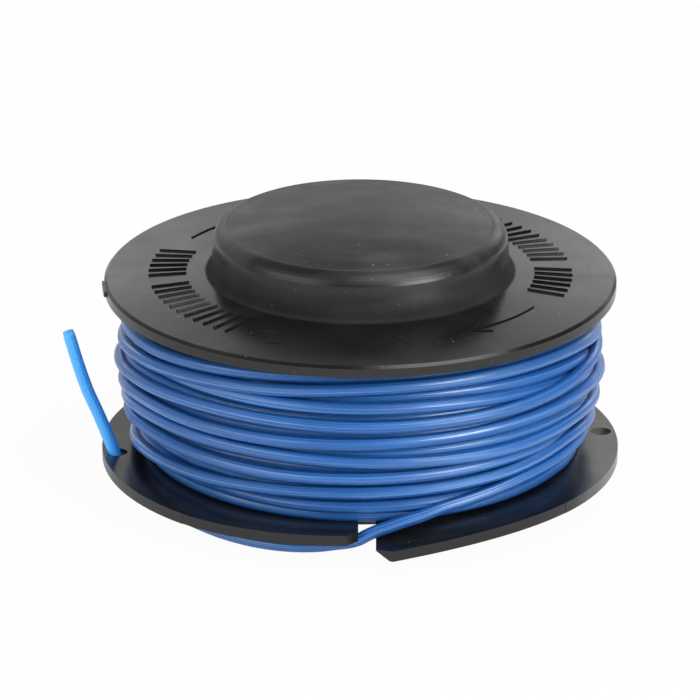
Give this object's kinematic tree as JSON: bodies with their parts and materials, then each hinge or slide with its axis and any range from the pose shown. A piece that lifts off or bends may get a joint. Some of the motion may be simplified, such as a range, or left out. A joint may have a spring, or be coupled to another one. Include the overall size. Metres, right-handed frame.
{
  "type": "trimmer line spool",
  "caption": "Bump-feed line spool for a grass trimmer: flanged two-part plastic spool with a domed bump knob, wound with blue nylon line.",
  "frame": {"origin": "middle of the drive collar's end face, on the spool's axis", "axes": "+Z along the spool's axis, towards the bump knob; -Y towards the slot that the line leaves by; -X towards the eyelet that holds the line's end"},
  "size_m": [0.0709, 0.0658, 0.0359],
  "materials": {
    "moulding_black": "fine matte black moulding",
    "line_blue": "translucent blue drawn nylon"
  },
  "bodies": {
    "root": {"knob_flange": "moulding_black", "hub_plate": "moulding_black", "line_winding": "line_blue", "line_lead": "line_blue"}
  },
  "joints": []
}
